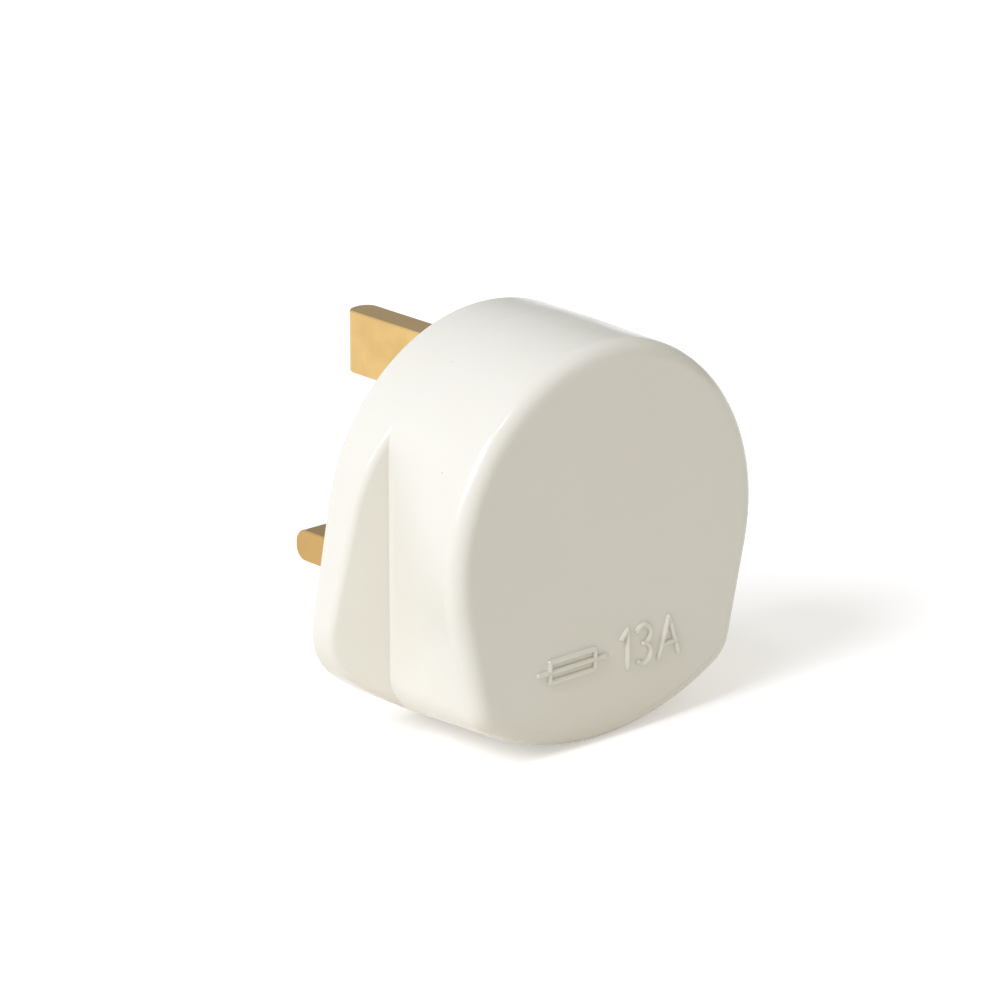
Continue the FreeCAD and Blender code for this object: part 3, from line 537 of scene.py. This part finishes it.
# %% Non-metal finish
def plain_finish(name, first, second, grain_size, roughness, depth):
    """A non-metal whose tone and gloss drift together, with a grain size in mm."""
    material, tree, shader = start_finish(name, {"IOR": 1.48})
    cloud = place_group(tree, clouds, {"Size mm": grain_size, "Detail": 5.0})
    dust_and_shade = place_group(tree, corner_dust_and_shade, {"Reach m": 0.001})
    tone = blend_colours(tree, cloud, first, second)
    # Painted shade with some dust: corners within 1 mm are darkened by this colour.
    tone = lay_over(tree, tone, CORNER_DUST_AND_SHADE, dust_and_shade, share=0.2)
    feed_shader(tree, shader, tone, remap(tree, cloud, new=roughness), cloud, depth)
    return material


# %% Sleeves, fuse barrel and fibre
sleeve_black = plain_finish(
    "sleeve_black",
    first=(0.02, 0.02, 0.021, 1.0),
    second=(0.035, 0.034, 0.033, 1.0),
    grain_size=1.5,
    roughness=(0.38, 0.55),
    depth=0.005 * MM,
)
barrel_ceramic = plain_finish(
    "barrel_ceramic",
    first=(0.86, 0.85, 0.81, 1.0),
    second=(0.8, 0.78, 0.72, 1.0),
    grain_size=4.0,
    roughness=(0.12, 0.22),
    depth=0.003 * MM,
)
brown_fibre = plain_finish(
    "brown_fibre",
    first=(0.3, 0.12, 0.06, 1.0),
    second=(0.2, 0.075, 0.04, 1.0),
    grain_size=0.5,
    roughness=(0.5, 0.7),
    depth=0.02 * MM,
)
red_fibre = plain_finish(
    "red_fibre",
    first=(0.42, 0.07, 0.045, 1.0),
    second=(0.3, 0.05, 0.03, 1.0),
    grain_size=0.4,
    roughness=(0.55, 0.75),
    depth=0.02 * MM,
)
dress(sleeve_black, "neutral_pin_sleeve", "live_pin_sleeve")
dress(barrel_ceramic, "fuse_barrel")
dress(brown_fibre, "cord_clamp_bar")
dress(red_fibre, "screw_retaining_washer")

# %% [markdown]
# ## Raised marks on the back
# Marks on a moulding are cut into the steel mould with a small round-nosed cutter, so on the plug they
# stand up as low ridges with round ends. Letters from a font would have flat tops and sharp corners, so
# the marks are drawn stroke by stroke, as the cutter does it. A half-round section is pulled along each
# straight stroke by extrude, or round each bowl by spin, and a quarter of it is turned once round into
# a dome on every end and corner. Strokes that meet share one dome, so that no two round ends lie in the
# same place.

# %% The section of a stroke
STROKE_HALF_WIDTH = 0.36 * MM
STROKE_HEIGHT = 0.42 * MM
SINK = 0.04 * MM
SECTION_STEPS = 8
BACK_Y = cad_box[0].y
OUTWARD = Vector((0.0, -1.0, 0.0))


def on_back(point):
    """A place on the back face, from mm to the right of its middle and mm above the origin."""
    right, up = point
    return Vector((right * MM, BACK_Y + SINK, up * MM))


def section_points(place, across, steps):
    """Points of the half-round section, from the foot on one side over the top, as far as the steps go."""
    points = []
    for step in range(steps + 1):
        turn = math.pi * step / SECTION_STEPS
        reach = across * (STROKE_HALF_WIDTH * math.cos(turn))
        rise = OUTWARD * ((STROKE_HEIGHT + SINK) * math.sin(turn))
        points.append(place + reach + rise)
    return points


def set_section(ridge, place, across):
    """The whole section as a closed loop of edges, with its foot as the last one."""
    loop = [ridge.verts.new(point) for point in section_points(place, across, SECTION_STEPS)]
    return [ridge.edges.new(pair) for pair in zip(loop, loop[1:] + loop[:1])]


print("strokes are", round(2 * STROKE_HALF_WIDTH / MM, 2), "mm wide")

# %% Closing a ridge
WELD = 0.002 * MM
SHARP_ANGLE = math.radians(60.0)


def close_ridge(ridge, marks):
    """Weld one ridge, close its ends, keep its foot crisp, and add it to the others of its mark."""
    bmesh.ops.remove_doubles(ridge, verts=ridge.verts, dist=WELD)
    rim = [edge for edge in ridge.edges if edge.is_boundary]
    bmesh.ops.holes_fill(ridge, edges=rim, sides=0)
    bmesh.ops.recalc_face_normals(ridge, faces=ridge.faces)
    for face in ridge.faces:
        face.smooth = True
    for edge in ridge.edges:
        edge.smooth = edge.calc_face_angle() < SHARP_ANGLE
    carrier = bpy.data.meshes.new("ridge")
    ridge.to_mesh(carrier)
    ridge.free()
    marks.from_mesh(carrier)
    bpy.data.meshes.remove(carrier)


# %% Straight strokes, bowls and domes
TURN_STEPS = 20
RIGHTWARD = Vector((1.0, 0.0, 0.0))


def on_circle(centre, radius, angle):
    """A point of a circle on the back, by its angle in degrees from the right, anticlockwise."""
    turn = math.radians(angle)
    return centre[0] + radius * math.cos(turn), centre[1] + radius * math.sin(turn)


def add_line(marks, start, end):
    """A straight stroke between two points."""
    ridge = bmesh.new()
    step = on_back(end) - on_back(start)
    section = set_section(ridge, on_back(start), step.cross(OUTWARD).normalized())
    pulled = bmesh.ops.extrude_edge_only(ridge, edges=section)["geom"]
    far_end = [item for item in pulled if isinstance(item, bmesh.types.BMVert)]
    bmesh.ops.translate(ridge, verts=far_end, vec=step)
    close_ridge(ridge, marks)


def add_bowl(marks, centre, radius, first, last):
    """A stroke round part of a circle, clockwise between two angles in degrees."""
    ridge = bmesh.new()
    middle = on_back(centre)
    start = on_back(on_circle(centre, radius, first))
    section = set_section(ridge, start, (start - middle).normalized())
    turn = math.radians(last - first)
    bmesh.ops.spin(
        ridge, geom=section, cent=middle, axis=OUTWARD, angle=turn, steps=TURN_STEPS, use_merge=False
    )
    close_ridge(ridge, marks)


def add_domes(marks, *points):
    """A round end on each point: a quarter of the section, turned once round."""
    for point in points:
        dome = bmesh.new()
        place = on_back(point)
        spots = section_points(place, RIGHTWARD, SECTION_STEPS // 2)
        chain = [dome.verts.new(spot) for spot in spots]
        quarter = [dome.edges.new(pair) for pair in zip(chain, chain[1:])]
        bmesh.ops.spin(
            dome, geom=quarter, cent=place, axis=OUTWARD, angle=math.tau, steps=TURN_STEPS, use_merge=True
        )
        close_ridge(dome, marks)


# %% [markdown]
# ### Current rating
# The rating says how much current the plug's fuse lets through: 13 amperes, written 13A. It stands low
# on the right of the back. All places are in mm, to the right of the middle of the back and above the
# origin. The 3 is two bowls that meet at its waist, and the bar of the letter ends on its legs.

# %% The numerals 1 and 3
LINE_UP = -20.4
NUMERAL_HEIGHT = 4.85
ONE_RIGHT = 2.95
ONE_FLAG = 0.95
THREE_RIGHT = 5.5
THREE_WAIST = 2.46
STRAIGHT_UP = 90.0
STRAIGHT_DOWN = -90.0
BOWL_START = 150.0
BOWL_END = -130.0
top = LINE_UP + NUMERAL_HEIGHT
numerals = bmesh.new()
one_top = (ONE_RIGHT, top)
one_foot = (ONE_RIGHT, LINE_UP)
one_flag = (ONE_RIGHT - ONE_FLAG, top - ONE_FLAG)
add_line(numerals, one_top, one_foot)
add_line(numerals, one_top, one_flag)
add_domes(numerals, one_top, one_foot, one_flag)

upper_radius = (NUMERAL_HEIGHT - THREE_WAIST) / 2
lower_radius = THREE_WAIST / 2
upper_bowl = (THREE_RIGHT, top - upper_radius)
lower_bowl = (THREE_RIGHT, LINE_UP + lower_radius)
three_start = on_circle(upper_bowl, upper_radius, BOWL_START)
three_waist = (THREE_RIGHT, LINE_UP + THREE_WAIST)
three_end = on_circle(lower_bowl, lower_radius, BOWL_END)
add_bowl(numerals, upper_bowl, upper_radius, BOWL_START, STRAIGHT_DOWN)
add_bowl(numerals, lower_bowl, lower_radius, STRAIGHT_UP, BOWL_END)
add_domes(numerals, three_start, three_waist, three_end)
print("numerals stand from", LINE_UP, "to", round(top, 2), "mm")

# %% The letter for the unit
LETTER_RIGHT = 9.66
LETTER_HALF_WIDTH = 1.66
LETTER_BAR_UP = 1.6


def finish_marks(marks, name):
    """Hang a finished mark on the cover."""
    mesh = bpy.data.meshes.new(name)
    marks.to_mesh(mesh)
    marks.free()
    mesh.materials.append(cover_ivory)
    piece = bpy.data.objects.new(name, mesh)
    scene.collection.objects.link(piece)
    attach(piece, "root")
    print(name, "has", len(mesh.polygons), "faces")


half_bar = LETTER_HALF_WIDTH * (1.0 - LETTER_BAR_UP / NUMERAL_HEIGHT)
letter_top = (LETTER_RIGHT, top)
left_foot = (LETTER_RIGHT - LETTER_HALF_WIDTH, LINE_UP)
right_foot = (LETTER_RIGHT + LETTER_HALF_WIDTH, LINE_UP)
bar_left = (LETTER_RIGHT - half_bar, LINE_UP + LETTER_BAR_UP)
bar_right = (LETTER_RIGHT + half_bar, LINE_UP + LETTER_BAR_UP)
add_line(numerals, letter_top, left_foot)
add_line(numerals, letter_top, right_foot)
add_line(numerals, bar_left, bar_right)
add_domes(numerals, letter_top, left_foot, right_foot)
finish_marks(numerals, "rating_numerals")

# %% [markdown]
# ### Fuse sign
# In circuit drawings a fuse is a long box with its wire running through it. On the plug the sign tells
# a buyer that there is a fuse inside. It stands to the left of the rating, on the same line.

# %% Fuse sign
SIGN_LEFT = -9.6
SIGN_RIGHT = -2.4
SIGN_FOOT = LINE_UP + 1.2
SIGN_TOP = LINE_UP + 3.7
SIGN_LEAD = 1.8
sign = bmesh.new()
corners = [(SIGN_LEFT, SIGN_FOOT), (SIGN_RIGHT, SIGN_FOOT), (SIGN_RIGHT, SIGN_TOP), (SIGN_LEFT, SIGN_TOP)]
for start, end in zip(corners, corners[1:] + corners[:1]):
    add_line(sign, start, end)
sign_middle = (SIGN_FOOT + SIGN_TOP) / 2
lead_left = (SIGN_LEFT - SIGN_LEAD, sign_middle)
lead_right = (SIGN_RIGHT + SIGN_LEAD, sign_middle)
add_line(sign, lead_left, lead_right)
add_domes(sign, *corners, lead_left, lead_right)
finish_marks(sign, "fuse_sign")
